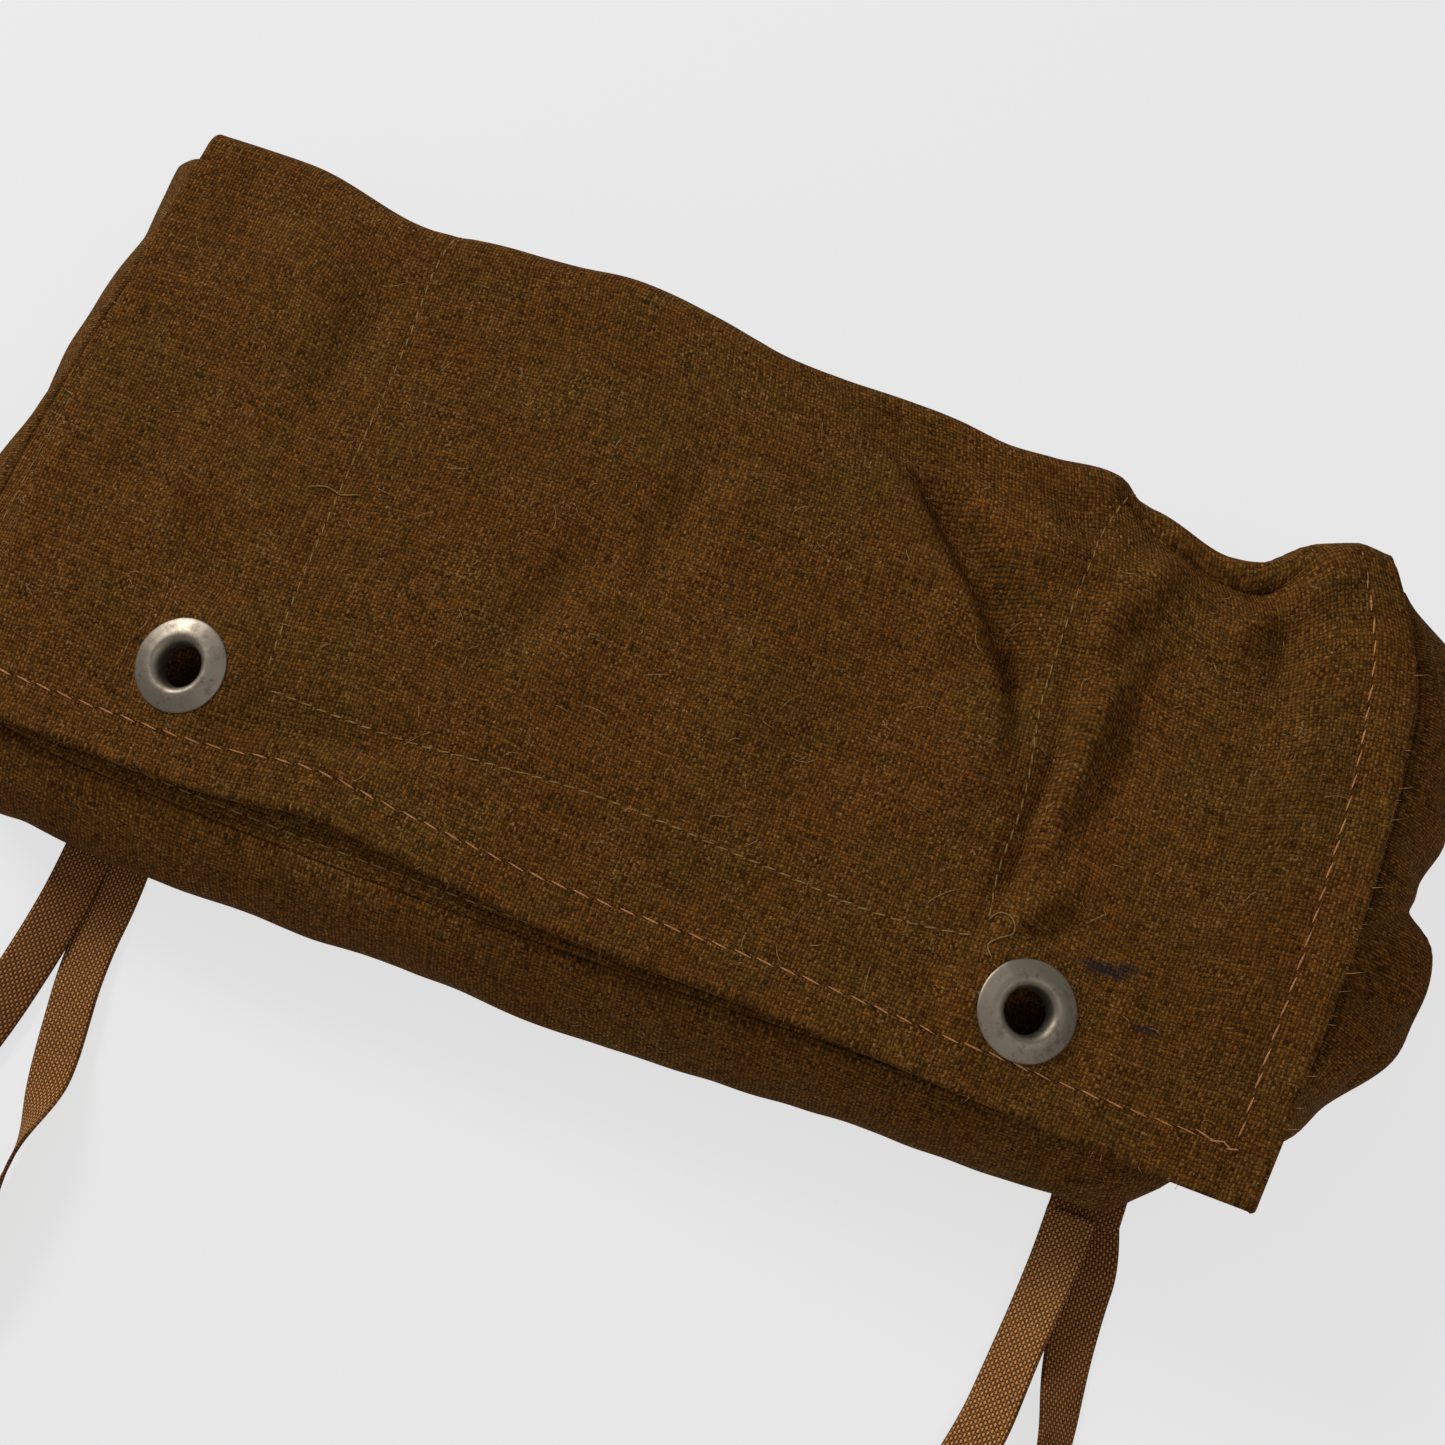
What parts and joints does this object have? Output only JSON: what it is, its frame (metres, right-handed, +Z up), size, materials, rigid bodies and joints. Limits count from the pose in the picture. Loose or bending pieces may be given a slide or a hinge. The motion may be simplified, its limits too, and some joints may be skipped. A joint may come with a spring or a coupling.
{
  "type": "mail sack",
  "caption": "Canvas mail sack lying on its back: gusseted body, hinged mouth band and flap, metal eyelets and tie tapes.",
  "frame": {"origin": "under the middle of the sack, on the surface that it lies on", "axes": "+X to the right across the sack, +Y up the sack from its bottom seam to its mouth, +Z up out of the flap's face"},
  "size_m": [0.356, 0.3539, 0.0474],
  "materials": {
    "canvas": "coarse plain-woven flax canvas, olive brown, flecked with straw",
    "eyelet_metal": "dull zinc-plated steel, grimy",
    "tie_tape": "woven cotton tape, orange brown",
    "hem_thread": "orange-brown linen sewing thread",
    "seam_thread": "olive linen sewing thread"
  },
  "bodies": {
    "sack": {"back_panel": "canvas", "front_panel": "canvas", "left_gusset": "canvas", "right_gusset": "canvas", "bottom_gusset": "canvas", "mouth_hem": "canvas", "mouth_thread": "seam_thread", "seam_thread": "seam_thread", "left_tape_anchor": "tie_tape", "right_tape_anchor": "tie_tape", "left_outer_tape": "tie_tape", "left_inner_tape": "tie_tape", "right_inner_tape": "tie_tape", "right_outer_tape": "tie_tape"},
    "band": {"mouth_band": "canvas"},
    "flap": {"flap_panel": "canvas", "flap_hem": "canvas", "flap_pocket": "canvas", "flap_hem_thread": "hem_thread", "pocket_thread": "seam_thread", "left_eyelet": "eyelet_metal", "right_eyelet": "eyelet_metal", "left_eyelet_washer": "eyelet_metal", "right_eyelet_washer": "eyelet_metal"}
  },
  "joints": [
    {"name": "mouth_open", "type": "hinge", "parent": "sack", "child": "band", "pos_m": [0, 0.0853, 0.0026], "axis": [-1, 0, 0], "range_deg": [0, 90]},
    {"name": "flap_lift", "type": "hinge", "parent": "band", "child": "flap", "pos_m": [0, 0.0853, 0.0449], "axis": [-1, 0, 0], "range_deg": [0, 90]}
  ]
}
